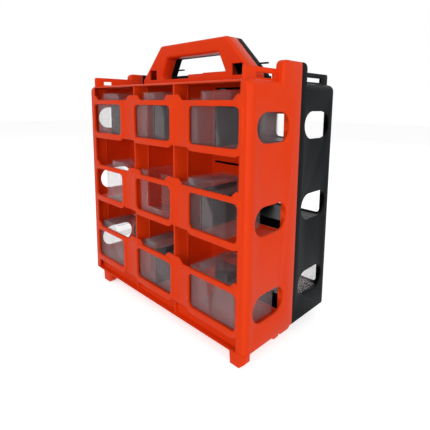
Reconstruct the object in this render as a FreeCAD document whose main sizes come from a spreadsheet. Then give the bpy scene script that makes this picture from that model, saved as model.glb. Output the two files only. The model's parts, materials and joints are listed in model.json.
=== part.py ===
import FreeCAD, Part
import Sketcher
import os
import re

from FreeCAD import Placement, Rotation, Vector

# Two sided carry case for small parts: two moulded half cases back to back under one split handle,
# three rows of three windowed cells in each, and clear lidded bins standing in the cells.
# Millimetres. X runs along the front, Y from the front face to the rear face, Z up from the ground.
# Each half case is drawn in its own frame, y counted in from its own face, and then placed.

doc = FreeCAD.newDocument("two_sided_parts_case")

# Driving sizes
SIZES = {
    # outside of the case
    "case_width": 360.0,
    "case_depth": 190.6,
    "case_height": 328.0,
    "foot_height": 14.0,
    "foot_length": 26.0,
    "foot_depth": 12.0,
    "foot_inset": 30.0,
    "parting_offset": 6.2,
    "corner_radius": 9.0,
    "bottom_radius": 3.0,
    "wall": 3.0,
    "web": 2.5,
    # rows, columns and windows
    "top_row_drop": 51.3,
    "bottom_row_rise": 49.3,
    "column_inset": 57.0,
    "window_width": 85.0,
    "window_height": 48.0,
    "window_radius": 7.0,
    "frame_side": 5.0,
    "frame_above": 7.0,
    "frame_below": 9.0,
    "face_recess": 1.2,
    "face_wall": 2.4,
    "band_below": 29.0,
    "bump_above": 7.0,
    "bump_width": 37.0,
    "shoulder_width": 25.0,
    "stile_width": 14.0,
    "cell_floor": 25.7,
    "cell_play": 2.0,
    "cell_back_play": 0.7,
    "back_opening": 41.0,
    "back_margin": 5.0,
    "sill_recess": 9.0,
    "rib_place": 27.0,
    "rib_size": 1.2,
    # slots in the back walls
    "slot_height": 3.2,
    "slot_level": 51.5,
    "top_slot_level": 46.5,
    "centre_slot_width": 80.0,
    "side_slot_width": 64.0,
    "side_slot_middle": 84.0,
    # openings in the side walls
    "side_opening_start": 14.8,
    "side_opening_margin": 11.2,
    "side_opening_height": 36.4,
    # rails and caps on the roof
    "rail_inset": 11.5,
    "rail_width": 3.5,
    "rail_height": 14.5,
    "rail_start": 4.5,
    "rail_slot_start": 25.0,
    "rail_slot_end": 59.0,
    "rear_slot_start": 21.0,
    "short_slot_start": 20.0,
    "short_slot_end": 36.0,
    "rail_slot_sill": 2.6,
    "rail_slot_height": 5.8,
    "cap_reach": 33.3,
    "short_cap_reach": 20.3,
    "cap_width": 13.0,
    "cap_height": 25.0,
    "cap_radius": 8.0,
    "cap_edge_radius": 3.0,
    # hook and lug under the right side
    "lug_inset": 2.0,
    "lug_width": 10.0,
    "lug_reach": 19.3,
    "lug_drop": 3.5,
    "lug_radius": 8.0,
    "hook_reach": 34.8,
    "hook_length": 14.0,
    "hook_drop": 3.7,
    # foot of the handle
    "plinth_reach": 21.0,
    "plinth_height": 11.0,
    "step_start": -4.5,
    "step_height": 16.5,
    "high_step_start": 28.0,
    "high_step_height": 17.5,
    # handle
    "rear_handle_reach": 14.5,
    "handle_rise": 65.5,
    "handle_knee": 12.0,
    "handle_base_half": 125.5,
    "handle_top_half": 74.0,
    "handle_radius": 6.0,
    "handle_edge_radius": 4.0,
    "grip_rise": 45.0,
    "grip_top_half": 58.3,
    "grip_base_half": 75.5,
    "handle_wall": 3.0,
    "leg_pocket_start": 85.5,
    "leg_pocket_width": 19.5,
    "leg_pocket_sill": 11.5,
    "leg_pocket_height": 15.5,
    "fin_level": 27.3,
    "fin_thickness": 2.0,
    "fin_depth": 4.5,
    "fin_length": 17.0,
    "outer_fin_end": 122.0,
    "inner_fin_end": 54.0,
    # screws that join the two halves of the handle
    "screw_place": 58.0,
    "screw_radius": 1.5,
    "screw_length": 20.0,
    "screw_head_radius": 3.0,
    "screw_head_height": 2.4,
    "screw_play": 0.3,
    "boss_radius": 5.0,
    # bins, lids and dividers
    "bin_width": 88.0,
    "bin_depth": 70.0,
    "bin_wall": 1.4,
    "bin_radius": 3.0,
    "bin_gap": 0.9,
    "bin_seat": 0.3,
    "bin_rim": 31.0,
    "ring_out": 0.6,
    "ring_radius": 3.8,
    "ring_hole": 1.9,
    "ring_inset": 7.0,
    "ring_drop": 3.6,
    "lid_gap": 0.3,
    "lid_thickness": 2.0,
    "dome_inset": 19.5,
    "dome_rise": 9.0,
    "dome_slope": 8.0,
    "hinge_radius": 1.8,
    "pintle_radius": 1.0,
    "hinge_play": 0.06,
    "ear_thickness": 3.0,
    "ear_inset": 12.0,
    "divider_thickness": 2.0,
    "divider_gap": 0.3,
    "guide": 0.9,
    "bin_shift_small": 5.0,
    "bin_stand_left": 1.3,
    "bin_stand_right": 5.3,
    "pick_width": 73.0,
    "pick_rim": 38.0,
    "pick_flange": 19.0,
    "pick_lip": 10.0,
}

sheet = doc.addObject("Spreadsheet::Sheet", "Sizes")
for line, (word, number) in enumerate(SIZES.items(), start=1):
    sheet.set(f"A{line}", word)
    sheet.set(f"B{line}", str(number))
    sheet.setAlias(f"B{line}", word)
doc.recompute()

ROWS = ("top", "middle", "bottom")
COLUMNS = {"left": -1, "centre": 0, "right": 1}

# Places that follow from the driving sizes, written as expressions
HALF_WIDTH = "case_width/2"
INNER_HALF = "(case_width/2-wall)"
CASE_TOP = "(foot_height+case_height)"
ROOF = "(foot_height+case_height-wall)"
FACE_BACK = "(face_recess+face_wall)"
BIN_FRONT = "(face_recess+face_wall+bin_gap)"
BIN_FLOOR = "(cell_floor-bin_seat)"
HINGE_Y = "(face_recess+face_wall+bin_gap+bin_depth)"
HINGE_Z = "(bin_rim+lid_gap+hinge_radius)"
EAR_PLACE = "(bin_width/2-ear_inset)"
DOME_HALF = "(bin_width/2-dome_inset)"
BARREL_HALF = "(bin_width/2-ear_inset-ear_thickness/2-lid_gap)"
RING_LEVEL = "(window_height/2-ring_drop)"
CELL_BACK = "(face_recess+face_wall+bin_gap+bin_depth+hinge_radius+cell_back_play)"
CENTRE_HALF = "(bin_width/2+cell_play)"
DIVIDER_OUT = "(bin_width/2+cell_play+web)"
COLUMN_MIDDLE = "(case_width/2-column_inset)"
BAND_HALF = "(case_width/2-wall-stile_width/2)"
HANDLE_PARTING = "(case_depth/2)"
PLINTH_START = "(case_depth/2-plinth_reach)"
FRONT_HANDLE = PLINTH_START
REAR_HANDLE = "(case_depth/2-rear_handle_reach)"
SCREW_LEVEL = "(foot_height+case_height+grip_rise/2+handle_rise/2)"
CAP_REACH = {"left": "short_cap_reach", "right": "cap_reach"}
RAIL_SLOTS = {
    ("front", "left"): ("short_slot_start", "short_slot_end"),
    ("front", "right"): ("rail_slot_start", "rail_slot_end"),
    ("rear", "left"): ("rear_slot_start", "rail_slot_end"),
    ("rear", "right"): ("rail_slot_start", "rail_slot_end"),
}


def bound(text):
    """An expression of the sizes, with each size written as its cell of the sheet."""
    return re.sub(r"[a-z_]+", lambda found: "Sizes." + found.group(0), text)


def bind(item, place, text):
    item.setExpression(place, bound(text))


def value_of(text):
    """The number that an expression of the sizes stands for."""
    numbers = re.sub(r"[a-z_]+", lambda found: str(sheet.get(found.group(0))), text)
    return float(FreeCAD.Units.Quantity(numbers).Value)


def row_level(row):
    """The middle of a row's windows: top from the roof, bottom from the floor, middle between them."""
    top = f"({ROOF}-top_row_drop)"
    bottom = "(foot_height+wall+bottom_row_rise)"
    return {"top": top, "bottom": bottom, "middle": f"(({top}+{bottom})/2)"}[row]


def column_middle(column):
    return f"(({COLUMNS[column]})*{COLUMN_MIDDLE})"


def box(name, x, y, z):
    """A block between a low and a high expression along each axis."""
    item = doc.addObject("Part::Box", name)
    for side, place, (low, high) in (("Length", "x", x), ("Width", "y", y), ("Height", "z", z)):
        bind(item, side, f"({high})-({low})")
        bind(item, f"Placement.Base.{place}", low)
    return item


def rod(name, radius, length, start, along):
    """A cylinder from its start point, along X or Y."""
    item = doc.addObject("Part::Cylinder", name)
    bind(item, "Radius", radius)
    bind(item, "Height", length)
    turn = {"x": Rotation(Vector(0, 1, 0), 90), "y": Rotation(Vector(1, 0, 0), -90)}[along]
    item.Placement = Placement(Vector(0, 0, 0), turn)
    for place, text in zip("xyz", start):
        bind(item, f"Placement.Base.{place}", text)
    return item


def fuse(name, items):
    item = doc.addObject("Part::MultiFuse", name)
    item.Shapes = items
    item.Refine = True
    return item


def cut(name, base, tools):
    item = doc.addObject("Part::Cut", name)
    item.Base = base
    item.Tool = tools[0] if len(tools) == 1 else fuse(f"{name}_tools", tools)
    item.Refine = True
    return item


def fillet(name, base, wanted, radius):
    """Rounds those edges of the base that the test picks."""
    doc.recompute()
    picked = [place for place, edge in enumerate(base.Shape.Edges, start=1) if wanted(edge)]
    if not picked:
        raise RuntimeError(f"{name} found no edge to round")
    item = doc.addObject("Part::Fillet", name)
    item.Base = base
    item.Edges = [(place, radius, radius) for place in picked]
    return item


def runs_along(edge, axis):
    """True for a straight edge along the axis."""
    if edge.Curve.TypeId != "Part::GeomLine":
        return False
    return abs(edge.tangentAt(edge.FirstParameter).dot(axis)) > 0.9999


def sorted_span(sign, near, far):
    """The span between two distances from the middle, on the side that the sign names."""
    if sign == "-":
        return (f"-({far})", f"-({near})")
    return (near, far)


def chamfer(name, base, wanted, size):
    """Slopes those edges of the base that the test picks."""
    doc.recompute()
    picked = [place for place, edge in enumerate(base.Shape.Edges, start=1) if wanted(edge)]
    if not picked:
        raise RuntimeError(f"{name} found no edge to slope")
    item = doc.addObject("Part::Chamfer", name)
    item.Base = base
    item.Edges = [(place, size, size) for place in picked]
    return item


def outline_pad(name, corners, start, finish):
    """An outline of corners in x and z, sketched and padded from one depth to another."""
    body = doc.addObject("PartDesign::Body", name)
    plane = [item for item in body.Origin.OriginFeatures if item.Role == "XZ_Plane"][0]
    sketch = body.newObject("Sketcher::SketchObject", f"{name}_outline")
    sketch.AttachmentSupport = (plane, "")
    sketch.MapMode = "FlatFace"
    bind(sketch, "AttachmentOffset.Base.z", f"-({start})")
    points = [Vector(value_of(x), value_of(z), 0) for x, z in corners]
    count = len(points)
    for place in range(count):
        sketch.addGeometry(Part.LineSegment(points[place], points[(place + 1) % count]), False)
    for place in range(count):
        sketch.addConstraint(Sketcher.Constraint("Coincident", place, 2, (place + 1) % count, 1))
    for place, (x, z) in enumerate(corners):
        for kind, text, number in (("DistanceX", x, points[place].x), ("DistanceY", z, points[place].y)):
            index = sketch.addConstraint(Sketcher.Constraint(kind, -1, 1, place, 1, number))
            bind(sketch, f"Constraints[{index}]", text)
    pad = body.newObject("PartDesign::Pad", f"{name}_pad")
    pad.Profile = sketch
    pad.Reversed = True
    bind(pad, "Length", f"({finish})-({start})")
    return body


def mirrored_outline(half):
    """A closed outline from its right half, given from the bottom up."""
    return half + [(f"-({x})", z) for x, z in reversed(half)]


# Half case: walls, floors, cells and the face with its windows
def shell(name, depth):
    block = box(f"{name}_block", (f"-{HALF_WIDTH}", HALF_WIDTH), ("0", depth), ("foot_height", CASE_TOP))
    top = value_of(CASE_TOP) - 1
    bottom = value_of("foot_height") + 0.1
    rounded = fillet(
        f"{name}_round_block", block,
        lambda edge: (runs_along(edge, Vector(0, 0, 1)) and edge.CenterOfMass.y < 1)
        or (runs_along(edge, Vector(0, 1, 0)) and edge.CenterOfMass.z > top)
        or (runs_along(edge, Vector(1, 0, 0)) and edge.CenterOfMass.z > top and edge.CenterOfMass.y < 1),
        value_of("corner_radius"),
    )
    rounded = fillet(
        f"{name}_round_bottom", rounded,
        lambda edge: edge.CenterOfMass.z < bottom and edge.CenterOfMass.y < value_of(depth) - 1,
        value_of("bottom_radius"),
    )
    inside = box(
        f"{name}_inside", (f"-{INNER_HALF}", INNER_HALF), (FACE_BACK, f"{depth}+wall"),
        ("foot_height+wall", ROOF),
    )
    front = value_of(FACE_BACK) + 0.1
    inside = fillet(
        f"{name}_round_inside", inside,
        lambda edge: (runs_along(edge, Vector(0, 0, 1)) and edge.CenterOfMass.y < front)
        or (runs_along(edge, Vector(0, 1, 0)) and edge.CenterOfMass.z > value_of(ROOF) - 1),
        value_of("corner_radius-wall"),
    )
    mouth = box(
        f"{name}_mouth", (f"-({INNER_HALF}-stile_width+wall)", f"{INNER_HALF}-stile_width+wall"),
        ("-wall", f"{FACE_BACK}+wall"), ("foot_height+wall", ROOF),
    )
    stile_faces = [
        box(
            f"{name}_stile_face_{side}", sorted_span(sign, f"{INNER_HALF}-stile_width+wall-1", "case_width/2-wall"),
            ("-wall", "face_recess"), ("foot_height+wall", ROOF),
        )
        for side, sign in (("left", "-"), ("right", ""))
    ]
    return cut(f"{name}_shell", rounded, [inside, mouth] + stile_faces)


def band(name, row):
    """The face band of one row, with its raised window frames, before the windows are cut."""
    level = row_level(row)
    rim = f"({level}+window_height/2+frame_above)"
    parts = [
        box(
            f"{name}_{row}_plate", (f"-{BAND_HALF}", BAND_HALF), ("face_recess", FACE_BACK),
            (f"{level}-band_below", rim),
        )
    ]
    for side, sign in (("left", "-"), ("right", "")):
        bump = sorted_span(sign, f"{DIVIDER_OUT}-web/2-bump_width/2", f"{DIVIDER_OUT}-web/2+bump_width/2")
        shoulder = sorted_span(sign, "case_width/2-shoulder_width", BAND_HALF)
        for part, span in (("bump", bump), ("shoulder", shoulder)):
            block = box(
                f"{name}_{row}_{part}_{side}", span, ("face_recess", FACE_BACK),
                (f"{rim}-wall", f"{rim}+bump_above"),
            )
            crest = value_of(f"{rim}+bump_above")
            reach = value_of(BAND_HALF) - 0.5
            parts.append(
                chamfer(
                    f"{name}_{row}_sloped_{part}_{side}", block,
                    lambda edge: runs_along(edge, Vector(0, 1, 0)) and edge.CenterOfMass.z > crest - 0.1
                    and abs(edge.CenterOfMass.x) < reach,
                    value_of("bump_above") - 0.5,
                )
            )
    for column in COLUMNS:
        middle = column_middle(column)
        frame = box(
            f"{name}_{row}_frame_{column}",
            (f"{middle}-window_width/2-frame_side", f"{middle}+window_width/2+frame_side"),
            ("0", FACE_BACK), (f"{level}-window_height/2-frame_below", rim),
        )
        parts.append(
            fillet(
                f"{name}_{row}_round_frame_{column}", frame,
                lambda edge: runs_along(edge, Vector(0, 1, 0)),
                value_of("frame_side+window_radius"),
            )
        )
    return parts


def windows(name):
    """The cutters of the nine windows, with rounded corners."""
    cutters = []
    for row in ROWS:
        for column in COLUMNS:
            middle = column_middle(column)
            level = row_level(row)
            cutter = box(
                f"{name}_window_{row}_{column}", (f"{middle}-window_width/2", f"{middle}+window_width/2"),
                ("-wall", f"{FACE_BACK}+face_recess/2"), (f"{level}-window_height/2", f"{level}+window_height/2"),
            )
            cutters.append(
                fillet(
                    f"{name}_window_{row}_{column}_corners", cutter,
                    lambda edge: runs_along(edge, Vector(0, 1, 0)),
                    value_of("window_radius"),
                )
            )
    return cutters


def cells(name):
    """Shelves, upright webs, back wall and sill behind the face."""
    parts = []
    for row in ROWS:
        floor = f"({row_level(row)}-cell_floor)"
        parts.append(
            box(
                f"{name}_shelf_{row}", (f"-{INNER_HALF}", INNER_HALF), (FACE_BACK, f"{CELL_BACK}+web"),
                (f"{floor}-web", floor),
            )
        )
    for side, sign in (("left", "-"), ("right", "")):
        parts.append(
            box(
                f"{name}_web_{side}", sorted_span(sign, CENTRE_HALF, DIVIDER_OUT),
                (FACE_BACK, CELL_BACK), ("foot_height+wall", ROOF),
            )
        )
        for place, span in (
            ("inner", sorted_span(sign, f"{CENTRE_HALF}-rib_size", CENTRE_HALF)),
            ("outer", sorted_span(sign, DIVIDER_OUT, f"{DIVIDER_OUT}+rib_size")),
            ("side", sorted_span(sign, f"{INNER_HALF}-rib_size", INNER_HALF)),
        ):
            parts.append(
                box(
                    f"{name}_rib_{place}_{side}", span, ("rib_place", "rib_place+rib_size"),
                    ("foot_height+wall", ROOF),
                )
            )
    parts.append(
        box(
            f"{name}_back", (f"-{INNER_HALF}", INNER_HALF), (CELL_BACK, f"{CELL_BACK}+web"),
            (f"{row_level('bottom')}-cell_floor", ROOF),
        )
    )
    parts.append(
        box(
            f"{name}_sill", (f"-{INNER_HALF}", INNER_HALF), ("sill_recess", "sill_recess+web"),
            ("foot_height+wall", f"{row_level('bottom')}-cell_floor"),
        )
    )
    return parts


def back_cutters(name):
    """The openings behind the windows and the slots above them."""
    cutters = []
    for row in ROWS:
        level = row_level(row)
        floor = f"({level}-cell_floor)"
        spans = {
            "left": (f"-({INNER_HALF}-back_margin)", f"-({DIVIDER_OUT}+back_margin)"),
            "centre": (f"-({CENTRE_HALF}-back_margin)", f"{CENTRE_HALF}-back_margin"),
            "right": (f"{DIVIDER_OUT}+back_margin", f"{INNER_HALF}-back_margin"),
        }
        slots = {
            "left": ("-side_slot_middle", "side_slot_width"),
            "centre": ("0", "centre_slot_width"),
            "right": ("side_slot_middle", "side_slot_width"),
        }
        for column in COLUMNS:
            cutters.append(
                box(
                    f"{name}_opening_{row}_{column}", spans[column], (f"{CELL_BACK}-web/2", f"{CELL_BACK}+2*web"),
                    (f"{floor}+web", f"{floor}+back_opening"),
                )
            )
            middle, width = slots[column]
            sill = f"{level}+{'top_slot_level' if row == 'top' else 'slot_level'}"
            cutters.append(
                box(
                    f"{name}_slot_{row}_{column}", (f"({middle})-{width}/2", f"({middle})+{width}/2"),
                    (f"{CELL_BACK}-web/2", f"{CELL_BACK}+2*web"),
                    (sill, f"{sill}+slot_height"),
                )
            )
    return cutters


def side_cutters(name):
    """The openings with round ends through both side walls."""
    cutters = []
    across = (f"-{HALF_WIDTH}-wall", f"{HALF_WIDTH}+wall")
    for row in ROWS:
        level = row_level(row)
        radius = "side_opening_height/2"
        first = f"side_opening_start+{radius}"
        last = f"case_depth/2-parting_offset-side_opening_margin-{radius}"
        for side, (low, high) in (
            ("left", (across[0], f"-{INNER_HALF}+rib_size+wall")),
            ("right", (f"{INNER_HALF}-rib_size-wall", across[1])),
        ):
            middle = box(
                f"{name}_side_opening_{row}_{side}", (low, high), (first, last),
                (f"{level}-{radius}", f"{level}+{radius}"),
            )
            ends = [
                rod(f"{name}_side_opening_{row}_{side}_{end}", radius, f"({high})-({low})", (low, y, level), "x")
                for end, y in (("front", first), ("back", last))
            ]
            cutters.append(fuse(f"{name}_side_opening_{row}_{side}_whole", [middle] + ends))
    return cutters


# Half case: what stands on the roof and under the floor
def rail(name, half_name, side, sign):
    """A thin upright rail on the roof, with a slot through it."""
    crest = value_of(f"{CASE_TOP}+rail_height") - 0.1
    front = value_of("rail_start") + 0.1
    block = box(
        f"{name}_rail_{side}",
        sorted_span(sign, "case_width/2-rail_inset-rail_width", "case_width/2-rail_inset"),
        ("rail_start", f"case_depth/2-{CAP_REACH[side]}+wall"), (f"{CASE_TOP}-wall/2", f"{CASE_TOP}+rail_height"),
    )
    rounded = fillet(
        f"{name}_round_rail_{side}", block,
        lambda edge: runs_along(edge, Vector(1, 0, 0)) and edge.CenterOfMass.z > crest
        and edge.CenterOfMass.y < front,
        value_of("wall"),
    )
    slot = box(
        f"{name}_rail_slot_{side}",
        sorted_span(sign, "case_width/2-rail_inset-rail_width-wall", "case_width/2-rail_inset+wall"),
        RAIL_SLOTS[(half_name, side)],
        (f"{CASE_TOP}+rail_slot_sill", f"{CASE_TOP}+rail_slot_sill+rail_slot_height"),
    )
    return cut(f"{name}_slotted_rail_{side}", rounded, [slot])


def cap(name, depth, side, sign):
    """The raised block at the parting, flush with the side wall, that ends a rail."""
    foot = f"{CASE_TOP}-corner_radius-wall/2"
    crest = value_of(f"{CASE_TOP}+cap_height") - 0.1
    front = value_of(f"case_depth/2-{CAP_REACH[side]}") + 0.1
    block = box(
        f"{name}_cap_{side}", sorted_span(sign, "case_width/2-cap_width", HALF_WIDTH),
        (f"case_depth/2-{CAP_REACH[side]}", depth), (foot, f"{CASE_TOP}+cap_height"),
    )
    nose = fillet(
        f"{name}_cap_nose_{side}", block,
        lambda edge: runs_along(edge, Vector(1, 0, 0)) and edge.CenterOfMass.z > crest
        and edge.CenterOfMass.y < front,
        value_of("cap_radius"),
    )
    return fillet(
        f"{name}_round_cap_{side}", nose,
        lambda edge: not runs_along(edge, Vector(1, 0, 0)) and edge.CenterOfMass.y < value_of(depth) - 0.1
        and edge.CenterOfMass.z > value_of(foot) + 0.1,
        value_of("cap_edge_radius"),
    )


def under_parts(name, depth):
    """The hook and the rounded lug under the right side wall."""
    across = ("case_width/2-lug_inset-lug_width", "case_width/2-lug_inset")
    hook = box(
        f"{name}_hook", across, ("case_depth/2-hook_reach", "case_depth/2-hook_reach+hook_length"),
        ("foot_height-hook_drop", "foot_height+wall"),
    )
    low = value_of("foot_height") - 0.1
    hook = fillet(
        f"{name}_round_hook", hook,
        lambda edge: runs_along(edge, Vector(1, 0, 0)) and edge.CenterOfMass.z < low,
        value_of("wall"),
    )
    lug = box(
        f"{name}_lug", across, ("case_depth/2-lug_reach", depth),
        ("foot_height-lug_drop", "foot_height+corner_radius"),
    )
    middle = value_of(f"(case_depth/2-lug_reach)/2+({depth})/2")
    for end, radius, wanted in (
        ("back", "lug_radius", lambda edge: edge.CenterOfMass.y > middle),
        ("front", "wall", lambda edge: edge.CenterOfMass.y < middle),
    ):
        lug = fillet(
            f"{name}_round_lug_{end}", lug,
            lambda edge: runs_along(edge, Vector(1, 0, 0)) and edge.CenterOfMass.z < low and wanted(edge),
            value_of(radius),
        )
    return [hook, lug]


def outer_hollows(name, depth):
    """What is cut away so that the caps and the lug stay out of the inside."""
    return [
        box(
            f"{name}_cap_inside_{side}", sorted_span(sign, "case_width/2-cap_width-wall", INNER_HALF),
            (FACE_BACK, f"{depth}+wall"), ("foot_height+wall", ROOF),
        )
        for side, sign in (("left", "-"), ("right", ""))
    ]


def feet(name):
    """Two tapered feet: one flush with a corner, the other set in from the opposite corner."""
    parts = []
    places = (
        ("corner", "case_width/2-foot_length+wall", "case_width/2"),
        ("inset", "-(case_width/2-foot_inset)", "-(case_width/2-foot_inset-foot_length)"),
    )
    for part, low, high in places:
        body = outline_pad(
            f"{name}_foot_{part}",
            [
                (low, "foot_height+wall"),
                (f"{low}+foot_height/8", "0"),
                (f"({high})-foot_height/2", "0"),
                (high, "foot_height/2"),
                (high, "foot_height+wall"),
            ],
            "0", "foot_depth",
        )
        parts.append(body)
    return parts


# Half handle
def handle_foot(name):
    """The low plinth of the handle and its two steps."""
    front = value_of(PLINTH_START) + 0.1
    plinth = box(
        f"{name}_plinth", ("-(handle_base_half-wall/2)", "handle_base_half-wall/2"),
        (PLINTH_START, HANDLE_PARTING), (CASE_TOP, f"{CASE_TOP}+plinth_height"),
    )
    parts = [
        fillet(
            f"{name}_round_plinth", plinth,
            lambda edge: runs_along(edge, Vector(0, 0, 1)) and edge.CenterOfMass.y < front,
            value_of("handle_edge_radius"),
        )
    ]
    for step in ("step", "high_step"):
        parts.append(
            box(
                f"{name}_{step}", (f"{step}_start", "grip_base_half+wall"), (PLINTH_START, HANDLE_PARTING),
                (CASE_TOP, f"{CASE_TOP}+{step}_height"),
            )
        )
    return parts


def handle_ring(name, start):
    """The outline of the handle around its grip opening, rounded at the outside."""
    outer = mirrored_outline([
        ("handle_base_half", CASE_TOP),
        ("handle_base_half", f"{CASE_TOP}+handle_knee"),
        ("handle_top_half", f"{CASE_TOP}+handle_rise"),
    ])
    opening = mirrored_outline([
        ("grip_base_half", f"{CASE_TOP}+plinth_height"),
        ("grip_top_half", f"{CASE_TOP}+grip_rise"),
    ])
    whole = outline_pad(f"{name}_outline", outer, start, HANDLE_PARTING)
    hole = outline_pad(f"{name}_grip", opening, f"{start}-wall", f"{HANDLE_PARTING}+wall")
    ring = cut(f"{name}_ring", whole, [hole])
    foot = value_of(CASE_TOP) + 0.1
    rounded = fillet(
        f"{name}_round_corners", ring,
        lambda edge: runs_along(edge, Vector(0, 1, 0)) and edge.CenterOfMass.z > foot,
        value_of("handle_radius"),
    )
    return fillet(
        f"{name}_round_face", rounded,
        lambda edge: edge.CenterOfMass.y < value_of(start) + 0.1 and edge.CenterOfMass.z > foot,
        value_of("handle_edge_radius"),
    )


def handle_hollow(name, start):
    """The space inside the half handle, and the pockets through its legs."""
    lean = "(handle_wall*1.4)"
    deep = (f"{start}+handle_wall", f"{HANDLE_PARTING}+wall")
    spaces = [
        outline_pad(
            f"{name}_grip_space",
            mirrored_outline([
                (f"grip_top_half+{lean}", f"{CASE_TOP}+grip_rise+handle_wall"),
                (f"handle_top_half-{lean}/2", f"{CASE_TOP}+handle_rise-handle_wall"),
            ]),
            *deep,
        ),
        box(
            f"{name}_plinth_space", ("-(grip_base_half-handle_wall)", "grip_base_half-handle_wall"),
            (f"{PLINTH_START}+handle_wall", f"{HANDLE_PARTING}+wall"),
            (f"{CASE_TOP}+handle_wall", f"{CASE_TOP}+plinth_height-handle_wall"),
        ),
    ]
    corners = [
        (f"grip_base_half+{lean}", f"{CASE_TOP}+handle_wall"),
        ("handle_base_half-handle_wall", f"{CASE_TOP}+handle_wall"),
        ("handle_base_half-handle_wall", f"{CASE_TOP}+handle_knee-handle_wall/2"),
        (f"handle_top_half+{lean}", f"{CASE_TOP}+grip_rise+handle_wall*3"),
        (f"grip_top_half+{lean}*1.5", f"{CASE_TOP}+grip_rise+handle_wall/2"),
        (f"grip_base_half+{lean}", f"{CASE_TOP}+plinth_height"),
    ]
    for side, sign in (("left", "-"), ("right", "")):
        spaces.append(
            outline_pad(f"{name}_leg_space_{side}", [(f"{sign}({x})", z) for x, z in corners], *deep)
        )
        spaces.append(
            box(
                f"{name}_leg_pocket_{side}",
                sorted_span(sign, "leg_pocket_start", "leg_pocket_start+leg_pocket_width"),
                (f"{start}-wall", f"{start}+handle_wall*2"),
                (f"{CASE_TOP}+leg_pocket_sill", f"{CASE_TOP}+leg_pocket_sill+leg_pocket_height"),
            )
        )
    return spaces


def fins(name, start):
    """Thin fins on the rear half handle: one outside one leg, one inside the other leg."""
    return [
        box(
            f"{name}_{place}_fin", span, (start, f"{start}+fin_depth"),
            (f"{CASE_TOP}+fin_level", f"{CASE_TOP}+fin_level+fin_thickness"),
        )
        for place, span in (
            ("outer", ("-outer_fin_end", "-(outer_fin_end-fin_length)")),
            ("inner", ("inner_fin_end", "inner_fin_end+fin_length")),
        )
    ]


def screw_bosses(name, start, bore):
    """Posts for the screws inside the handle, and the bores through them."""
    posts = []
    bores = []
    for side, sign in (("left", "-"), ("right", "")):
        spot = (f"{sign}screw_place", f"{start}+handle_wall/2", SCREW_LEVEL)
        reach = f"{HANDLE_PARTING}-({start})-handle_wall/2"
        posts.append(rod(f"{name}_post_{side}", "boss_radius", reach, spot, "y"))
        bores.append(rod(f"{name}_bore_{side}", bore, f"{reach}+wall", spot, "y"))
    return posts, bores


def half_case(name, depth):
    """One moulded half of the case in its own frame, without its half of the handle."""
    walls = shell(name, depth)
    bands = [part for row in ROWS for part in band(name, row)]
    trunk = fuse(f"{name}_trunk", [walls] + bands + cells(name))
    openings = windows(name) + back_cutters(name) + side_cutters(name)
    open_trunk = cut(f"{name}_open_trunk", trunk, openings)
    top = []
    for side, sign in (("left", "-"), ("right", "")):
        top.append(rail(name, name, side, sign))
        top.append(cap(name, depth, side, sign))
    grown = fuse(f"{name}_grown", top + under_parts(name, depth) + feet(name))
    trimmed = cut(f"{name}_trimmed", grown, outer_hollows(name, depth))
    place(fuse(f"{name}_whole", [open_trunk, trimmed]), name, f"{name}_case")


def half_handle(name, start, bore, extras, seats):
    """One moulded half of the handle, hollow towards the other half."""
    ring = handle_ring(name, start)
    grown = fuse(f"{name}_handle_grown", [ring] + handle_foot(name) + extras)
    trimmed = cut(f"{name}_handle_trimmed", grown, handle_hollow(name, start))
    posts, bores = screw_bosses(name, start, bore)
    whole = fuse(f"{name}_handle_whole", [trimmed] + posts)
    place(cut(f"{name}_handle_bored", whole, bores + seats), name, f"{name}_handle")


def place(item, side, label):
    """Names a finished piece and sets it on its side of the case."""
    item.Label = label
    if side == "front":
        item.Placement = Placement(Vector(0, 0, 0), Rotation())
        bind(item, "Placement.Base.y", "-case_depth/2")
    else:
        item.Placement = Placement(Vector(0, 0, 0), Rotation(Vector(0, 0, 1), 180))
        bind(item, "Placement.Base.y", "case_depth/2")
    pieces.append(item)


# Bins, lids and dividers, each drawn about the middle of its cell
def tub(name, middle, row, width, rim, ring_side):
    """A clear open bin with a round ring near each corner of its front."""
    level = row_level(row)
    floor = f"({level}-{BIN_FLOOR})"
    left = f"({middle}-{width}/2)"
    right = f"({middle}+{width}/2)"
    back = f"({BIN_FRONT}+bin_depth)"
    block = box(f"{name}_block", (left, right), (BIN_FRONT, back), (floor, f"{level}+{rim}"))
    rounded = fillet(
        f"{name}_corners", block, lambda edge: runs_along(edge, Vector(0, 0, 1)), value_of("bin_radius")
    )
    inside = box(
        f"{name}_inside", (f"{left}+bin_wall", f"{right}-bin_wall"),
        (f"{BIN_FRONT}+bin_wall", f"{back}-bin_wall"), (f"{floor}+bin_wall", f"{level}+{rim}+wall"),
    )
    hollow = cut(f"{name}_walls", rounded, [inside])
    rings = []
    holes = []
    for side in ("-", "+"):
        for up in ("-", "+"):
            spot = (f"{middle}{side}{ring_side}", f"{BIN_FRONT}-ring_out", f"{level}{up}{RING_LEVEL}")
            word = f"{'left' if side == '-' else 'right'}_{'low' if up == '-' else 'high'}"
            rings.append(rod(f"{name}_ring_{word}", "ring_radius", "ring_out+bin_wall/2", spot, "y"))
            holes.append(rod(f"{name}_ring_hole_{word}", "ring_hole", "ring_out", spot, "y"))
    return hollow, rings, holes


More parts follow.
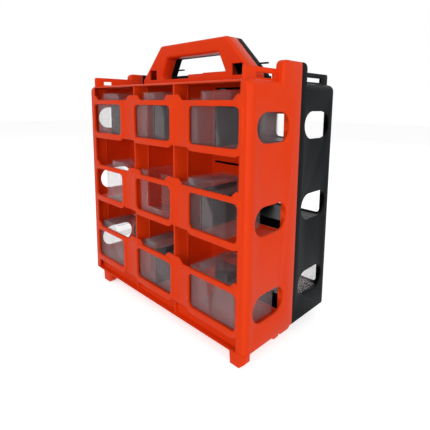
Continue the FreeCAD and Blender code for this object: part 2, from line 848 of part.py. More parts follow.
def guide_ribs(name, middle, row):
    """Ribs on the inside of the front and back walls that hold a divider upright."""
    level = row_level(row)
    floor = f"({level}-{BIN_FLOOR}+bin_wall/2)"
    ribs = []
    for side, sign in (("left", -1), ("right", 1)):
        centre = f"{middle}+({sign})*(divider_thickness/2+divider_gap+guide/2)"
        front_face = f"{BIN_FRONT}+bin_wall"
        back_face = f"{BIN_FRONT}+bin_depth-bin_wall"
        for end, span in (
            ("front", (f"{front_face}-bin_wall/2", f"{front_face}+guide")),
            ("back", (f"{back_face}-guide", f"{back_face}+bin_wall/2")),
        ):
            ribs.append(
                box(
                    f"{name}_guide_{side}_{end}", (f"{centre}-guide/2", f"{centre}+guide/2"), span,
                    (floor, f"{level}+bin_rim-wall"),
                )
            )
    return ribs


def lidded_bin(name, middle, row, side):
    """A bin with ears for its lid at the back."""
    hollow, rings, holes = tub(name, middle, row, "bin_width", "bin_rim", "(bin_width/2-ring_inset)")
    level = row_level(row)
    ears = []
    bores = []
    for hand, sign in (("left", -1), ("right", 1)):
        low = f"{middle}+({sign})*{EAR_PLACE}-ear_thickness/2"
        high = f"{middle}+({sign})*{EAR_PLACE}+ear_thickness/2"
        ears.append(
            box(
                f"{name}_ear_{hand}", (low, high), (f"{HINGE_Y}-hinge_radius", f"{HINGE_Y}+hinge_radius+hinge_play"),
                (f"{level}+bin_rim-wall*2", f"{level}+{HINGE_Z}+hinge_radius"),
            )
        )
        bores.append(
            rod(
                f"{name}_ear_bore_{hand}", "pintle_radius+hinge_play", "ear_thickness*3",
                (f"{low}-ear_thickness", HINGE_Y, f"{level}+{HINGE_Z}"), "x",
            )
        )
    solid = fuse(f"{name}_solid", [hollow] + rings + ears + guide_ribs(name, middle, row))
    place(cut(f"{name}_whole", solid, holes + bores), side, name)


def pick_bin(name, middle, row, side):
    """An open bin without a lid: its front is cut down to a lip between two flanges."""
    hollow, rings, holes = tub(name, middle, row, "pick_width", "pick_rim", "(pick_width/2-pick_flange/2)")
    level = row_level(row)
    mouth = box(
        f"{name}_mouth", (f"{middle}-pick_width/2+pick_flange", f"{middle}+pick_width/2-pick_flange"),
        (f"{BIN_FRONT}-wall", f"{BIN_FRONT}+bin_wall+bin_gap"),
        (f"{level}-{BIN_FLOOR}+pick_lip", f"{level}+pick_rim+wall"),
    )
    solid = fuse(f"{name}_solid", [hollow] + rings)
    place(cut(f"{name}_whole", solid, holes + [mouth]), side, name)


def lid(name, middle, row, side):
    """A clear lid with a raised hollow middle, turning on two pintles at its back edge."""
    level = row_level(row)
    under = f"({level}+bin_rim+lid_gap)"
    top = f"({under}+lid_thickness)"
    plate = box(
        f"{name}_plate", (f"{middle}-bin_width/2", f"{middle}+bin_width/2"),
        (BIN_FRONT, f"{HINGE_Y}-hinge_radius-lid_gap"), (under, top),
    )
    rounded = fillet(
        f"{name}_corners", plate,
        lambda edge: runs_along(edge, Vector(0, 0, 1)) and edge.CenterOfMass.y < value_of(HINGE_Y) / 2,
        value_of("bin_radius"),
    )
    tongue = box(
        f"{name}_tongue", (f"{middle}-{BARREL_HALF}", f"{middle}+{BARREL_HALF}"),
        (f"{HINGE_Y}-hinge_radius*2", HINGE_Y), (under, top),
    )
    barrel = rod(
        f"{name}_barrel", "hinge_radius", f"{BARREL_HALF}*2",
        (f"{middle}-{BARREL_HALF}", HINGE_Y, f"{level}+{HINGE_Z}"), "x",
    )
    pintles = rod(
        f"{name}_pintles", "pintle_radius", f"{EAR_PLACE}*2+ear_thickness",
        (f"{middle}-{EAR_PLACE}-ear_thickness/2", HINGE_Y, f"{level}+{HINGE_Z}"), "x",
    )
    domes = []
    for part, wall, drop in (("dome", "0", "lid_thickness"), ("dome_inside", "bin_wall", "(lid_thickness+wall)")):
        block = box(
            f"{name}_{part}_block", (f"{middle}-{DOME_HALF}+{wall}", f"{middle}+{DOME_HALF}-{wall}"),
            (f"{BIN_FRONT}+lid_gap+{wall}", f"{HINGE_Y}-hinge_radius-lid_gap-bin_wall-{wall}"),
            (f"{top}-{drop}", f"{top}+dome_rise-{wall}"),
        )
        back = value_of(f"{HINGE_Y}-hinge_radius-lid_gap-bin_wall-{wall}")
        crest = value_of(f"{top}+dome_rise-{wall}")
        domes.append(
            chamfer(
                f"{name}_{part}", block,
                lambda edge: runs_along(edge, Vector(1, 0, 0)) and edge.CenterOfMass.y > back - 0.01
                and edge.CenterOfMass.z > crest - 0.01,
                value_of("dome_slope"),
            )
        )
    notches = []
    for hand, sign in (("left", -1), ("right", 1)):
        ear = f"{middle}+({sign})*{EAR_PLACE}"
        notches.append(
            box(
                f"{name}_notch_{hand}",
                (f"{ear}-ear_thickness/2-lid_gap", f"{ear}+ear_thickness/2+lid_gap"),
                (f"{HINGE_Y}-hinge_radius*3", f"{HINGE_Y}-hinge_radius"), (f"{under}-wall", f"{top}+wall"),
            )
        )
    solid = fuse(f"{name}_solid", [rounded, tongue, barrel, domes[0]])
    open_lid = cut(f"{name}_open", solid, [domes[1]] + notches)
    place(fuse(f"{name}_whole", [open_lid, pintles]), side, name)


def divider(name, middle, row, side):
    level = row_level(row)
    plate = box(
        f"{name}_plate", (f"{middle}-divider_thickness/2", f"{middle}+divider_thickness/2"),
        (f"{BIN_FRONT}+bin_wall+divider_gap", f"{BIN_FRONT}+bin_depth-bin_wall-divider_gap"),
        (f"{level}-{BIN_FLOOR}+bin_wall", f"{level}+bin_rim-divider_gap"),
    )
    place(fillet(
        f"{name}_whole", plate,
        lambda edge: runs_along(edge, Vector(1, 0, 0)) and edge.CenterOfMass.z > value_of(level),
        value_of("divider_thickness"),
    ), side, name)


# What stands in each cell of the front half: the middle of its bin, with a divider or not
LEFT = column_middle("left")
RIGHT = column_middle("right")
FRONT_CELLS = {
    ("top", "left"): (f"({LEFT}+bin_shift_small)", True),
    ("top", "centre"): ("0", True),
    ("top", "right"): (RIGHT, True),
    ("middle", "left"): (f"(-({DIVIDER_OUT}+rib_size+bin_stand_left+bin_width/2))", False),
    ("middle", "right"): (f"({DIVIDER_OUT}+rib_size+bin_stand_right+bin_width/2)", True),
    ("bottom", "left"): (f"({LEFT}-bin_shift_small)", False),
    ("bottom", "centre"): ("0", True),
    ("bottom", "right"): (RIGHT, False),
}
EMPTY_REAR_CELLS = (("top", "right"), ("middle", "right"))

pieces = []
half_case("front", "(case_depth/2+parting_offset)")
half_case("rear", "(case_depth/2-parting_offset)")
half_handle("front", FRONT_HANDLE, "screw_radius+hinge_play", [], [])
seats = [
    rod(
        f"rear_screw_seat_{hand}", "screw_head_radius+screw_play", "screw_head_height+screw_play+wall",
        (f"{sign}screw_place", f"{REAR_HANDLE}-wall", SCREW_LEVEL), "y",
    )
    for hand, sign in (("left", "-"), ("right", ""))
]
half_handle("rear", REAR_HANDLE, "screw_radius+screw_play", fins("rear", REAR_HANDLE), seats)

screws = []
for hand, sign in (("left", "-"), ("right", "")):
    seat = f"({REAR_HANDLE}+screw_play)"
    spot = (f"{sign}screw_place", seat, SCREW_LEVEL)
    head = rod(f"screw_head_{hand}", "screw_head_radius", "screw_head_height", spot, "y")
    shank = rod(f"screw_shank_{hand}", "screw_radius", "screw_head_height+screw_length", spot, "y")
    recess = box(
        f"screw_recess_{hand}",
        (f"{sign}screw_place-screw_head_radius/6", f"{sign}screw_place+screw_head_radius/6"),
        (f"{seat}-wall", f"{seat}+screw_head_height/2"),
        (f"{SCREW_LEVEL}-screw_head_radius*0.6", f"{SCREW_LEVEL}+screw_head_radius*0.6"),
    )
    screws.append(cut(f"screw_{hand}", fuse(f"screw_solid_{hand}", [head, shank]), [recess]))
pair = doc.addObject("Part::Compound", "case_screws")
pair.Links = screws
place(pair, "rear", "case_screws")

for (row, column), (middle, divided) in FRONT_CELLS.items():
    lidded_bin(f"front_bin_{row}_{column}", middle, row, "front")
    lid(f"front_lid_{row}_{column}", middle, row, "front")
    if divided:
        divider(f"front_divider_{row}_{column}", middle, row, "front")
pick_bin("front_pick_bin_middle_centre", "0", "middle", "front")

# The rear half faces the other way, so its left cells are on the right of the case seen from the front
MIRRORED = {"left": "right", "centre": "centre", "right": "left"}
for row in ROWS:
    for column in COLUMNS:
        if (row, column) in EMPTY_REAR_CELLS:
            continue
        middle = column_middle(MIRRORED[column])
        lidded_bin(f"rear_bin_{row}_{column}", middle, row, "rear")
        lid(f"rear_lid_{row}_{column}", middle, row, "rear")

doc.recompute()
faults = [item.Name for item in doc.Objects if "Invalid" in item.State or "Error" in item.State]
if faults:
    raise RuntimeError(f"objects that failed: {faults}")
for piece in pieces:
    if piece.Shape.isNull() or not piece.Shape.isValid() or not piece.Shape.Solids:
        raise RuntimeError(f"{piece.Label} has no valid solid")

os.makedirs("parts", exist_ok=True)
for piece in pieces:
    piece.Shape.exportStep(f"parts/{piece.Label}.step")
    bounds = piece.Shape.BoundBox
    print(piece.Label, len(piece.Shape.Solids), round(piece.Shape.Volume), [round(v, 1) for v in (
        bounds.XMin, bounds.XMax, bounds.YMin, bounds.YMax, bounds.ZMin, bounds.ZMax)])
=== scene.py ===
import json
import math

import bmesh
import bpy
from bpy.props import FloatProperty, FloatVectorProperty, IntProperty, PointerProperty
from mathutils import Matrix, Vector

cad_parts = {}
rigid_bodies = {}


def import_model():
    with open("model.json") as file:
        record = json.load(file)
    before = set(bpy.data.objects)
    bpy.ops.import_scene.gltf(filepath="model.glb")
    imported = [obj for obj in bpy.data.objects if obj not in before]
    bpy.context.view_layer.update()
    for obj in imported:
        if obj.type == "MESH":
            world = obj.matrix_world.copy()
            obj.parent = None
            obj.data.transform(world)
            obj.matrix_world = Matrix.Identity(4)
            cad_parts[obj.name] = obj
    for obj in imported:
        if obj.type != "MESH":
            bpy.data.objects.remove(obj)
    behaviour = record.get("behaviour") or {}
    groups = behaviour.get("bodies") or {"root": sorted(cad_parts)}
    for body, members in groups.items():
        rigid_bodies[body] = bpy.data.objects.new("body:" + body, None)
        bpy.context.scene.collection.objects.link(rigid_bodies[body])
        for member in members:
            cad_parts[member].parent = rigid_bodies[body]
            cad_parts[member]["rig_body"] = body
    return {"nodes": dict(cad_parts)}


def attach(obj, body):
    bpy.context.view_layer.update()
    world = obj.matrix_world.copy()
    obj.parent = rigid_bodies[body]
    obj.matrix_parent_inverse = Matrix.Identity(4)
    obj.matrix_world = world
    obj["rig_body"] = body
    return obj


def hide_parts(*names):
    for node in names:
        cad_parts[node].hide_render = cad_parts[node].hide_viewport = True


bl_info = {
    "name": "Two sided small parts case",
    "version": (1, 0, 0),
    "blender": (4, 5, 0),
    "location": "View3D > Sidebar > Parts case",
    "description": "Dresses the two half cases, their clear bins, lids and dividers, and sets the stage",
    "category": "Object",
}

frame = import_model()
NODES = frame["nodes"]

# Meshes, in metres and radians
WELD_REACH = 0.000005
FLAT_ANGLE = math.radians(0.5)
ROUNDED_ANGLE = math.radians(32)
SHADED_ANGLE = math.radians(38)
FOOT_BAND = 0.0001  # edges this close to a piece's lowest level stay sharp, so that it rests flat

# Moulded plastic
SKIN_TONE_SIZE = 28.0
SKIN_GRAIN_SIZE = 2400.0
SKIN_EDGE = 0.0016
RUB_SHARE = 0.20
# Share of the painted highlight along edges, which lightens them towards the lighter rub colour
EDGE_HIGHLIGHT_SHARE = 0.30
RUB_DULLNESS = 0.18

# Clear plastic: how much of its veil shows face on and at a slant, and what its edges add. The veil is
# partly the plastic's own faint haze and partly a painted reflection that grows at a slant, and the
# edges add a painted highlight
CLEAR_EDGE = 0.0010
CLEAR_FACE_ON = 0.055
CLEAR_AT_A_SLANT = 0.30
CLEAR_EDGE_HIGHLIGHT = 0.12
CLEAR_DEEP = 0.86
CLEAR_DULLNESS = (0.05, 0.30)

# Plated steel
STEEL_DEEP = 0.7
STEEL_DULLNESS = (0.28, 0.5)

# The photograph's camera, solved from the straight edges of the case
CAMERA_PLACE = (0.4351, -0.4028, 0.3144)
CAMERA_YAW = math.radians(44.84)
CAMERA_PITCH = math.radians(-8.34)
CAMERA_ROLL = math.radians(0.58)
CAMERA_SHIFT = -0.1326
SENSOR_WIDTH = 36.0

# Stage. Each lamp has a name, a place, a size and the setting that holds its power.
LAMP_TARGET = (0.0, 0.0, 0.2)
LAMPS = (
    ("key_light", (-0.2, -1.8, 1.7), 1.6, "key_power"),
    ("side_light", (2.0, -0.2, 1.1), 1.4, "side_power"),
    ("front_light", (0.9, -1.3, 0.45), 0.9, "front_power"),
    ("rear_light", (-1.2, 1.9, 1.3), 1.4, "rear_power"),
)
FLOOR_DROP = 0.0005
FLOOR_TONE = 0.90
FLOOR_GLOW = 0.60
WHITE = (1.0, 1.0, 1.0, 1.0)


# Sizes and colours that a user would change
class CaseColours(bpy.types.PropertyGroup):
    front: FloatVectorProperty(
        name="Front half", description="Colour of the moulded front half",
        subtype="COLOR", size=3, min=0.0, max=1.0, default=(0.82, 0.050, 0.005),
    )
    rear: FloatVectorProperty(
        name="Rear half", description="Colour of the moulded rear half and the dividers",
        subtype="COLOR", size=3, min=0.0, max=1.0, default=(0.005, 0.0065, 0.008),
    )
    clear: FloatVectorProperty(
        name="Bins", description="Tint of the clear bins and lids",
        subtype="COLOR", size=3, min=0.0, max=1.0, default=(0.52, 0.44, 0.46),
    )
    steel: FloatVectorProperty(
        name="Screws", description="Colour of the plated screws",
        subtype="COLOR", size=3, min=0.0, max=1.0, default=(0.52, 0.52, 0.53),
    )


class CaseSizes(bpy.types.PropertyGroup):
    half_edge: FloatProperty(
        name="Edge of the halves", description="Rounding of the moulded edges of both halves",
        unit="LENGTH", default=0.0006, min=0.0, max=0.002, precision=4,
    )
    bin_edge: FloatProperty(
        name="Edge of the bins", description="Rounding of the edges of bins, lids and dividers",
        unit="LENGTH", default=0.0004, min=0.0, max=0.001, precision=4,
    )
    edge_steps: IntProperty(
        name="Edge steps", description="Facets across each rounded edge", default=2, min=1, max=6,
    )


class StageSizes(bpy.types.PropertyGroup):
    floor_reach: FloatProperty(
        name="Floor", description="Half the width of the floor",
        unit="LENGTH", default=6.0, min=1.0, max=20.0,
    )
    key_power: FloatProperty(
        name="Key light", description="Power of the main lamp", unit="POWER", default=10.0,
    )
    side_power: FloatProperty(
        name="Side light", description="Power of the lamp on the right", unit="POWER", default=13.0,
    )
    front_power: FloatProperty(
        name="Front light", description="Power of the lamp at the camera", unit="POWER", default=7.0,
    )
    rear_power: FloatProperty(
        name="Rear light", description="Power of the lamp behind", unit="POWER", default=8.0,
    )
    sky_level: FloatProperty(
        name="Sky", description="Level of the plain light from all round", default=0.34,
    )
    focal_length: FloatProperty(
        name="Lens", description="Focal length in millimetres", default=30.94,
    )


# Shared effects
def new_group(name, inputs, outputs):
    """A node group with inputs, each with its start value, and outputs."""
    group = bpy.data.node_groups.new(name, "ShaderNodeTree")
    for word, start in inputs:
        socket = group.interface.new_socket(name=word, in_out="INPUT", socket_type="NodeSocketFloat")
        socket.default_value = start
    for word, kind in outputs:
        group.interface.new_socket(name=word, in_out="OUTPUT", socket_type=kind)
    return group, group.nodes.new("NodeGroupInput"), group.nodes.new("NodeGroupOutput")


def filled(tree, kind, **values):
    """A new node with values in its inputs. An underscore stands for a space in an input's name."""
    node = tree.nodes.new(kind)
    for word, value in values.items():
        node.inputs[word.replace("_", " ")].default_value = value
    return node


def fed(tree, socket, value):
    """Gives an input a fixed value, or links another node's output to it."""
    if isinstance(value, bpy.types.NodeSocket):
        tree.links.new(value, socket)
    else:
        socket.default_value = value


def calculated(tree, operation, *values):
    """The result of a calculation on fixed values and other nodes' outputs."""
    node = tree.nodes.new("ShaderNodeMath")
    node.operation = operation
    for socket, value in zip(node.inputs, values):
        fed(tree, socket, value)
    return node.outputs["Value"]


def spread(tree, value, low, high):
    """A value from 0 to 1 brought to the range from low to high."""
    node = filled(tree, "ShaderNodeMapRange", To_Min=low, To_Max=high)
    tree.links.new(value, node.inputs["Value"])
    return node.outputs["Result"]


def mixed(tree, low, high, mask):
    """The colour between two colours, by a mask. The first may be another node's output."""
    node = tree.nodes.new("ShaderNodeMix")
    node.data_type = "RGBA"
    fed(tree, node.inputs["A"], low)
    fed(tree, node.inputs["B"], high)
    tree.links.new(mask, node.inputs["Factor"])
    return node.outputs["Result"]


def moulded_surface():
    """Slow changes of tone, a fine grain and faint rub marks of a moulded plastic."""
    group, into, out = new_group(
        "moulded_surface",
        [("Tone size", 30.0), ("Grain size", 2500.0), ("Marks", 0.5)],
        [("Tone", "NodeSocketFloat"), ("Grain", "NodeSocketFloat"), ("Rub", "NodeSocketFloat")],
    )
    place = group.nodes.new("ShaderNodeTexCoord")
    tone = filled(group, "ShaderNodeTexNoise", Detail=3.0)
    grain = filled(group, "ShaderNodeTexNoise", Detail=2.0)
    stretch = filled(group, "ShaderNodeMapping", Rotation=(0.3, 0.5, 0.4), Scale=(1.0, 9.0, 5.0))
    rub = filled(group, "ShaderNodeTexNoise", Scale=55.0, Detail=6.0, Roughness=0.7)
    sparse = filled(group, "ShaderNodeMapRange", From_Min=0.58, From_Max=0.80)
    link = group.links.new
    for texture in (tone, grain, stretch):
        link(place.outputs["Object"], texture.inputs["Vector"])
    link(into.outputs["Tone size"], tone.inputs["Scale"])
    link(into.outputs["Grain size"], grain.inputs["Scale"])
    link(stretch.outputs["Vector"], rub.inputs["Vector"])
    link(rub.outputs["Fac"], sparse.inputs["Value"])
    level = calculated(group, "MULTIPLY", sparse.outputs["Result"], into.outputs["Marks"])
    link(tone.outputs["Fac"], out.inputs["Tone"])
    link(grain.outputs["Fac"], out.inputs["Grain"])
    link(level, out.inputs["Rub"])
    return group


def rim_mask():
    """A mask that is bright along edges, where a painted highlight goes; its second output is the
    rounded normal of the edges.
    """
    group, into, out = new_group(
        "rim_mask", [("Width", 0.0015)], [("Rim", "NodeSocketFloat"), ("Normal", "NodeSocketVector")],
    )
    rounded = group.nodes.new("ShaderNodeBevel")
    rounded.samples = 6
    flat = group.nodes.new("ShaderNodeNewGeometry")
    along = group.nodes.new("ShaderNodeVectorMath")
    along.operation = "DOT_PRODUCT"
    turned = filled(group, "ShaderNodeMapRange", From_Min=0.995, From_Max=0.80)
    link = group.links.new
    link(into.outputs["Width"], rounded.inputs["Radius"])
    link(rounded.outputs["Normal"], along.inputs[0])
    link(flat.outputs["Normal"], along.inputs[1])
    link(along.outputs["Value"], turned.inputs["Value"])
    link(turned.outputs["Result"], out.inputs["Rim"])
    link(rounded.outputs["Normal"], out.inputs["Normal"])
    return group


GROUPS = {}
FINISHES = {}


def placed(tree, group, **values):
    """A group node in a material's tree, with its own values."""
    node = tree.nodes.new("ShaderNodeGroup")
    node.node_tree = GROUPS[group]
    for word, value in values.items():
        node.inputs[word.replace("_", " ")].default_value = value
    return node


def opaque(colour, level=1.0):
    """A colour at a level of its own brightness, as a node's input holds it."""
    return (*(part * level for part in colour), 1.0)


def blank(name, **values):
    """A new material, its tree and its shader, with values in the shader's inputs."""
    material = bpy.data.materials.new(name)
    material.use_nodes = True
    tree = material.node_tree
    shader = next(node for node in tree.nodes if node.type == "BSDF_PRINCIPLED")
    for word, value in values.items():
        shader.inputs[word.replace("_", " ")].default_value = value
    return material, tree, shader


def moulded(name, colour, deep, rub_and_highlight, roughness, marks, gloss):
    """A glossy moulded plastic: tone, grain, rub marks and a painted highlight along the edges."""
    material, tree, shader = blank(name, IOR=1.5, Specular_IOR_Level=gloss)
    skin = placed(
        tree, "moulded_surface", Tone_size=SKIN_TONE_SIZE, Grain_size=SKIN_GRAIN_SIZE, Marks=marks,
    )
    edge = placed(tree, "rim_mask", Width=SKIN_EDGE)
    rub = skin.outputs["Rub"]
    body = mixed(tree, opaque(deep), opaque(colour), skin.outputs["Tone"])
    rubbed = mixed(tree, body, opaque(rub_and_highlight), spread(tree, rub, 0.0, RUB_SHARE))
    # Painted highlight: the edges are lightened towards the lighter colour, as if they caught the light
    highlighted = mixed(tree, rubbed, opaque(rub_and_highlight), spread(tree, edge.outputs["Rim"], 0.0, EDGE_HIGHLIGHT_SHARE))
    bump = filled(tree, "ShaderNodeBump", Strength=0.16, Distance=0.0002)
    tree.links.new(skin.outputs["Grain"], bump.inputs["Height"])
    tree.links.new(edge.outputs["Normal"], bump.inputs["Normal"])
    tree.links.new(highlighted, shader.inputs["Base Color"])
    dull = spread(tree, rub, roughness, roughness + RUB_DULLNESS)
    tree.links.new(dull, shader.inputs["Roughness"])
    tree.links.new(bump.outputs["Normal"], shader.inputs["Normal"])
    return material


def clear_plastic(name, colour):
    """Clear styrene: see-through face on, under a veil that is partly its own faint haze and partly a
    painted reflection that grows at a slant, with a painted highlight along its edges.
    """
    material, tree, shader = blank(name, IOR=1.55, Coat_Weight=0.15, Coat_Roughness=0.04)
    skin = placed(tree, "moulded_surface", Tone_size=60.0, Marks=0.8)
    edge = placed(tree, "rim_mask", Width=CLEAR_EDGE)
    slant = filled(tree, "ShaderNodeLayerWeight", Blend=0.18)
    body = spread(tree, slant.outputs["Fresnel"], CLEAR_FACE_ON, CLEAR_AT_A_SLANT)
    # Painted reflection and highlight: the pale tint shows more at a slant and along the edges
    haze_and_reflection = calculated(tree, "MULTIPLY_ADD", edge.outputs["Rim"], CLEAR_EDGE_HIGHLIGHT, body)
    tinted = mixed(tree, opaque(colour, CLEAR_DEEP), opaque(colour), skin.outputs["Tone"])
    tree.links.new(tinted, shader.inputs["Base Color"])
    tree.links.new(haze_and_reflection, shader.inputs["Alpha"])
    tree.links.new(spread(tree, skin.outputs["Rub"], *CLEAR_DULLNESS), shader.inputs["Roughness"])
    return material


def plated_steel(name, colour):
    """Zinc plated steel with a fine change of tone."""
    material, tree, shader = blank(name, Metallic=1.0)
    skin = placed(tree, "moulded_surface", Tone_size=700.0, Marks=1.0)
    toned = mixed(tree, opaque(colour, STEEL_DEEP), opaque(colour), skin.outputs["Tone"])
    tree.links.new(toned, shader.inputs["Base Color"])
    tree.links.new(spread(tree, skin.outputs["Rub"], *STEEL_DULLNESS), shader.inputs["Roughness"])
    return material


def make_finishes(colours):
    """Makes the shared groups and one material for each material slot."""
    GROUPS["moulded_surface"] = moulded_surface()
    GROUPS["rim_mask"] = rim_mask()
    orange = tuple(colours.front)
    black = tuple(colours.rear)
    # Each lighter colour below serves both the rub marks (wear) and the painted highlight along the
    # edges
    FINISHES["orange_plastic"] = moulded(
        "orange_plastic", orange, deep=(orange[0] * 0.93, orange[1] * 0.86, orange[2] * 0.8),
        rub_and_highlight=(0.92, 0.10, 0.012), roughness=0.42, marks=0.5, gloss=0.09,
    )
    FINISHES["black_plastic"] = moulded(
        "black_plastic", black, deep=tuple(part * 0.7 for part in black),
        rub_and_highlight=(0.03, 0.033, 0.036), roughness=0.45, marks=0.8, gloss=0.05,
    )
    FINISHES["clear_plastic"] = clear_plastic("clear_plastic", tuple(colours.clear))
    FINISHES["zinc_steel"] = plated_steel("zinc_steel", tuple(colours.steel))


def finish(material_slot):
    """The material of a slot. All of them are made at the first call."""
    if not FINISHES:
        make_finishes(bpy.context.scene.case_colours)
    return FINISHES[material_slot]


# Pieces
def softened(node, width, steps, material_slot):
    """A copy of a node with clean faces and rounded edges, which takes the node's place."""
    source = NODES[node]
    mesh = bpy.data.meshes.new(f"{node}_dressed")
    shape = bmesh.new()
    shape.from_mesh(source.data)
    bmesh.ops.remove_doubles(shape, verts=shape.verts, dist=WELD_REACH)
    bmesh.ops.dissolve_limit(
        shape, angle_limit=FLAT_ANGLE, use_dissolve_boundaries=False,
        verts=shape.verts, edges=shape.edges, delimit=set(),
    )
    foot = min(corner.co.z for corner in shape.verts)
    sharp = [
        edge for edge in shape.edges
        if len(edge.link_faces) == 2 and edge.calc_face_angle() > ROUNDED_ANGLE
        and max(corner.co.z for corner in edge.verts) > foot + FOOT_BAND
    ]
    if width > 0:
        bmesh.ops.bevel(
            shape, geom=sharp, offset=width, offset_type="OFFSET", segments=steps, profile=0.5,
            affect="EDGES", clamp_overlap=True, material=-1,
        )
    shape.to_mesh(mesh)
    shape.free()
    piece = bpy.data.objects.new(f"{node}_dressed", mesh)
    bpy.context.scene.collection.objects.link(piece)
    mesh.materials.append(finish(material_slot))
    for face in mesh.polygons:
        face.use_smooth = True
        face.material_index = 0
    mesh.set_sharp_from_angle(angle=SHADED_ANGLE)
    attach(piece, source["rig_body"])
    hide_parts(node)


def dress(words, width, steps, material_slot):
    """Softens every node whose name holds the words, in order. There has to be one."""
    found = sorted(node for node in NODES if words in node)
    if not found:
        raise RuntimeError(f"the frame has no node with {words} in its name")
    for node in found:
        softened(node, width, steps, material_slot)


def painted(node, material_slot):
    """Gives a node that keeps its own shape its finish."""
    mesh = NODES[node].data
    mesh.materials.clear()
    mesh.materials.append(finish(material_slot))


class PARTS_CASE_OT_halves(bpy.types.Operator):
    """Dresses the orange front half and the black rear half"""

    bl_idname = "parts_case.halves"
    bl_label = "Half cases"

    def execute(self, context):
        sizes = context.scene.case_sizes
        dress("front_case", sizes.half_edge, sizes.edge_steps, "orange_plastic")
        dress("rear_case", sizes.half_edge, sizes.edge_steps, "black_plastic")
        return {"FINISHED"}


class PARTS_CASE_OT_handle(bpy.types.Operator):
    """Dresses the two halves of the handle"""

    bl_idname = "parts_case.handle"
    bl_label = "Handle"

    def execute(self, context):
        sizes = context.scene.case_sizes
        dress("front_handle", sizes.half_edge, sizes.edge_steps, "orange_plastic")
        dress("rear_handle", sizes.half_edge, sizes.edge_steps, "black_plastic")
        return {"FINISHED"}


class PARTS_CASE_OT_bins(bpy.types.Operator):
    """Dresses the clear bins"""

    bl_idname = "parts_case.bins"
    bl_label = "Bins"

    def execute(self, context):
        sizes = context.scene.case_sizes
        dress("_bin_", sizes.bin_edge, sizes.edge_steps, "clear_plastic")
        return {"FINISHED"}


class PARTS_CASE_OT_lids(bpy.types.Operator):
    """Dresses the clear lids"""

    bl_idname = "parts_case.lids"
    bl_label = "Lids"

    def execute(self, context):
        sizes = context.scene.case_sizes
        dress("_lid_", sizes.bin_edge, sizes.edge_steps, "clear_plastic")
        return {"FINISHED"}


class PARTS_CASE_OT_dividers(bpy.types.Operator):
    """Dresses the black dividers that stand in some bins"""

    bl_idname = "parts_case.dividers"
    bl_label = "Dividers"

    def execute(self, context):
        sizes = context.scene.case_sizes
        dress("_divider_", sizes.bin_edge, sizes.edge_steps, "black_plastic")
        return {"FINISHED"}


class PARTS_CASE_OT_screws(bpy.types.Operator):
    """Gives the handle's screws their plated finish"""

    bl_idname = "parts_case.screws"
    bl_label = "Handle screws"

    def execute(self, context):
        painted("case_screws", "zinc_steel")
        return {"FINISHED"}


# Stage
def lamp(name, place, size, power):
    """A round soft lamp that faces the case."""
    data = bpy.data.lights.new(name, "AREA")
    data.shape = "DISK"
    data.size = size
    data.energy = power
    item = bpy.data.objects.new(name, data)
    item.location = place
    item.rotation_euler = (Vector(LAMP_TARGET) - Vector(place)).to_track_quat("-Z", "Y").to_euler()
    bpy.context.scene.collection.objects.link(item)


def photo_camera(lens):
    """The camera at the photograph's place, with its small roll and the shift of its picture."""
    level = math.cos(CAMERA_PITCH)
    ahead = Vector((
        -math.sin(CAMERA_YAW) * level, math.cos(CAMERA_YAW) * level, math.sin(CAMERA_PITCH),
    ))
    right = Vector((math.cos(CAMERA_YAW), math.sin(CAMERA_YAW), 0.0))
    above = right.cross(ahead)
    turned_right = right * math.cos(CAMERA_ROLL) + above * math.sin(CAMERA_ROLL)
    turned_above = above * math.cos(CAMERA_ROLL) - right * math.sin(CAMERA_ROLL)
    data = bpy.data.cameras.new("photo_camera")
    data.lens = lens
    data.sensor_width = SENSOR_WIDTH
    data.shift_y = CAMERA_SHIFT
    data.clip_start = 0.01
    data.clip_end = 100.0
    camera = bpy.data.objects.new("photo_camera", data)
    turn = Matrix((turned_right, turned_above, -ahead)).transposed().to_4x4()
    camera.matrix_world = Matrix.Translation(Vector(CAMERA_PLACE)) @ turn
    bpy.context.scene.collection.objects.link(camera)
    bpy.context.scene.camera = camera


def seen_white(tree):
    """A mask that is 1 for rays that show the background: straight, mirrored or let through."""
    light = tree.nodes.new("ShaderNodeLightPath")
    mask = light.outputs["Is Camera Ray"]
    for word in ("Is Glossy Ray", "Is Transmission Ray"):
        mask = calculated(tree, "MAXIMUM", mask, light.outputs[word])
    return mask


def plain_sky(level):
    """A world that shows as white and lights the case at a lower level."""
    world = bpy.data.worlds.new("plain_sky")
    world.use_nodes = True
    bpy.context.scene.world = world
    tree = world.node_tree
    back = next(node for node in tree.nodes if node.type == "BACKGROUND")
    back.inputs["Color"].default_value = WHITE
    tree.links.new(spread(tree, seen_white(tree), level, 1.0), back.inputs["Strength"])


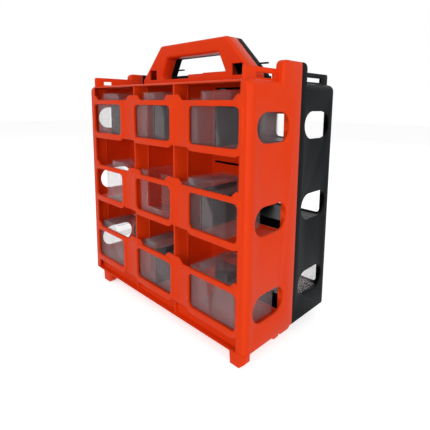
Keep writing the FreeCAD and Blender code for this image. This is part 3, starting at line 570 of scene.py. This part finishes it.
def pale_floor(reach):
    """A floor that shows as white and keeps the shadow of the case."""
    shape = bmesh.new()
    bmesh.ops.create_grid(shape, x_segments=1, y_segments=1, size=reach)
    mesh = bpy.data.meshes.new("floor")
    shape.to_mesh(mesh)
    shape.free()
    floor = bpy.data.objects.new("floor", mesh)
    floor.location = (0.0, 0.0, -FLOOR_DROP)
    bpy.context.scene.collection.objects.link(floor)
    material, tree, shader = blank(
        "floor_card", Base_Color=(FLOOR_TONE, FLOOR_TONE, FLOOR_TONE, 1.0),
        Roughness=0.9, Emission_Color=WHITE,
    )
    glow = calculated(tree, "MULTIPLY", seen_white(tree), FLOOR_GLOW)
    tree.links.new(glow, shader.inputs["Emission Strength"])
    mesh.materials.append(material)


class PARTS_CASE_OT_stage(bpy.types.Operator):
    """Sets the pale floor, the plain soft light and the camera"""

    bl_idname = "parts_case.stage"
    bl_label = "Stage"

    def execute(self, context):
        sizes = context.scene.case_stage
        context.scene.view_settings.view_transform = "Standard"
        photo_camera(sizes.focal_length)
        for name, place, size, power in LAMPS:
            lamp(name, place, size, getattr(sizes, power))
        plain_sky(sizes.sky_level)
        pale_floor(sizes.floor_reach)
        return {"FINISHED"}


class PARTS_CASE_PT_panel(bpy.types.Panel):
    bl_idname = "PARTS_CASE_PT_panel"
    bl_label = "Parts case"
    bl_space_type = "VIEW_3D"
    bl_region_type = "UI"
    bl_category = "Parts case"

    def draw(self, context):
        layout = self.layout
        for group in SETTINGS:
            settings = getattr(context.scene, group)
            for word in settings.__annotations__:
                layout.prop(settings, word)
        for step in STEPS:
            layout.operator(step.bl_idname)


STEPS = (
    PARTS_CASE_OT_stage,
    PARTS_CASE_OT_halves,
    PARTS_CASE_OT_handle,
    PARTS_CASE_OT_bins,
    PARTS_CASE_OT_lids,
    PARTS_CASE_OT_dividers,
    PARTS_CASE_OT_screws,
)
SETTINGS = {"case_colours": CaseColours, "case_sizes": CaseSizes, "case_stage": StageSizes}


def register():
    for kind in (*SETTINGS.values(), *STEPS, PARTS_CASE_PT_panel):
        bpy.utils.register_class(kind)
    for word, kind in SETTINGS.items():
        setattr(bpy.types.Scene, word, PointerProperty(type=kind))


def unregister():
    for word in SETTINGS:
        delattr(bpy.types.Scene, word)
    for kind in (PARTS_CASE_PT_panel, *reversed(STEPS), *SETTINGS.values()):
        bpy.utils.unregister_class(kind)


def main():
    register()
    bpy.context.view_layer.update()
    for step in STEPS:
        group, word = step.bl_idname.split(".")
        getattr(getattr(bpy.ops, group), word)()
    bpy.context.view_layer.update()


if __name__ == "__main__":
    main()
